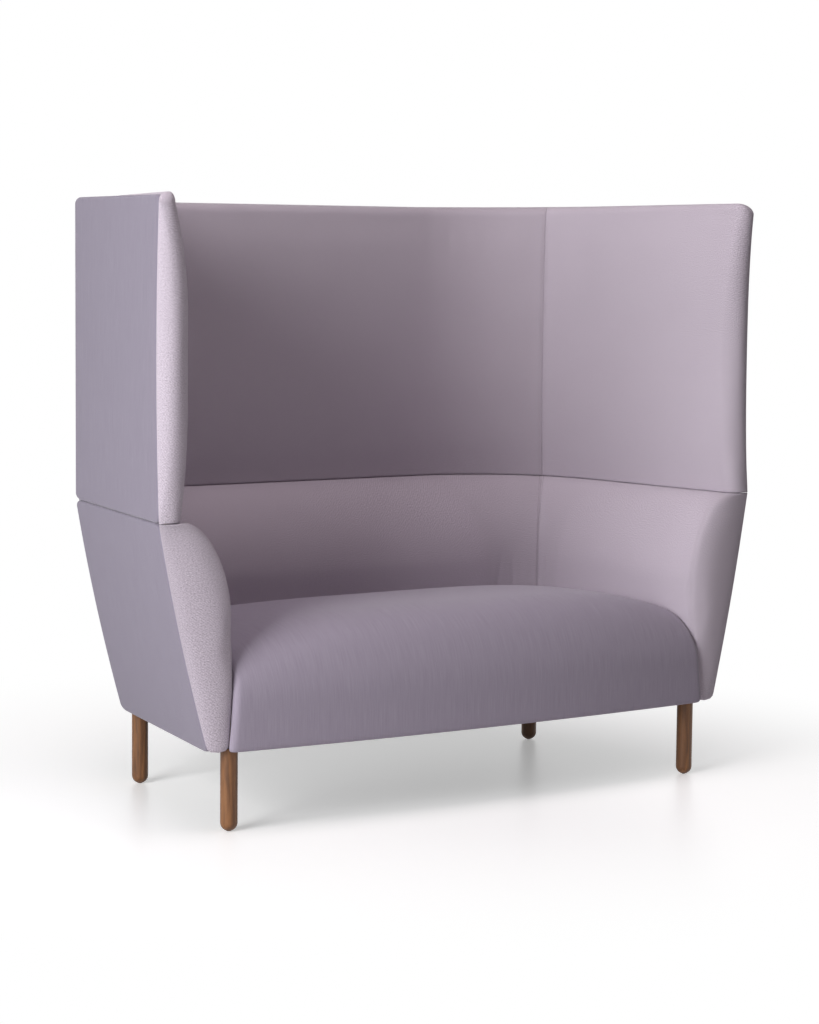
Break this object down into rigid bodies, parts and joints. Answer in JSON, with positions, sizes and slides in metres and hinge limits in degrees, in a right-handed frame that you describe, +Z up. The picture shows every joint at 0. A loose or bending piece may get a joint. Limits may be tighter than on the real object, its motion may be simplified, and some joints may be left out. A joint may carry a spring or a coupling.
{
  "type": "high-back screen sofa",
  "caption": "Upholstered two-seat sofa with rolled arms and a tall three-sided acoustic screen standing on its lower body, on turned wooden legs.",
  "frame": {"origin": "on the floor under the middle of the bounding box", "axes": "+X to the sitter's left across the width, +Y towards the back, +Z up"},
  "size_m": [1.6004, 0.91, 1.3706],
  "materials": {
    "walnut": "oiled",
    "glide_plastic": "matte",
    "steel": "brushed",
    "zinc_screws": "zinc plated",
    "timber": "planed",
    "plywood": "sanded",
    "webbing": "woven",
    "foam": "open cell",
    "dust_cloth": "spunbonded",
    "seat_fabric": "fine twill",
    "panel_fabric": "fine twill",
    "pad_fabric": "diagonal melange weave"
  },
  "bodies": {
    "root": {"leg_front_left": "walnut", "leg_front_right": "walnut", "leg_back_left": "walnut", "leg_back_right": "walnut", "leg_glides": "glide_plastic", "leg_studs": "steel", "leg_plates": "steel", "leg_plate_screws": "zinc_screws", "seat_front_rail": "timber", "seat_rear_rail": "timber", "seat_side_rail_left": "timber", "seat_side_rail_right": "timber", "seat_cross_rails": "timber", "leg_blocks": "timber", "back_bearers": "timber", "seat_webbing_long": "webbing", "seat_webbing_cross": "webbing", "seat_foam": "foam", "seat_cushion": "seat_fabric", "dust_cover": "dust_cloth", "lower_side_board_left": "plywood", "lower_side_board_right": "plywood", "lower_back_board": "plywood", "lower_corner_former_left": "plywood", "lower_corner_former_right": "plywood", "arm_pad_left": "pad_fabric", "arm_pad_right": "pad_fabric", "lower_back_pad": "pad_fabric", "lower_side_panel_left": "panel_fabric", "lower_side_panel_right": "panel_fabric", "lower_back_panel": "panel_fabric", "screen_side_board_left": "plywood", "screen_side_board_right": "plywood", "screen_back_board": "plywood", "screen_corner_former_left": "plywood", "screen_corner_former_right": "plywood", "wing_pad_left": "pad_fabric", "wing_pad_right": "pad_fabric", "screen_back_pad": "pad_fabric", "screen_side_panel_left": "panel_fabric", "screen_side_panel_right": "panel_fabric", "screen_back_panel": "panel_fabric", "joining_brackets": "steel", "joining_screws": "zinc_screws", "joining_dowels": "timber"}
  },
  "joints": []
}
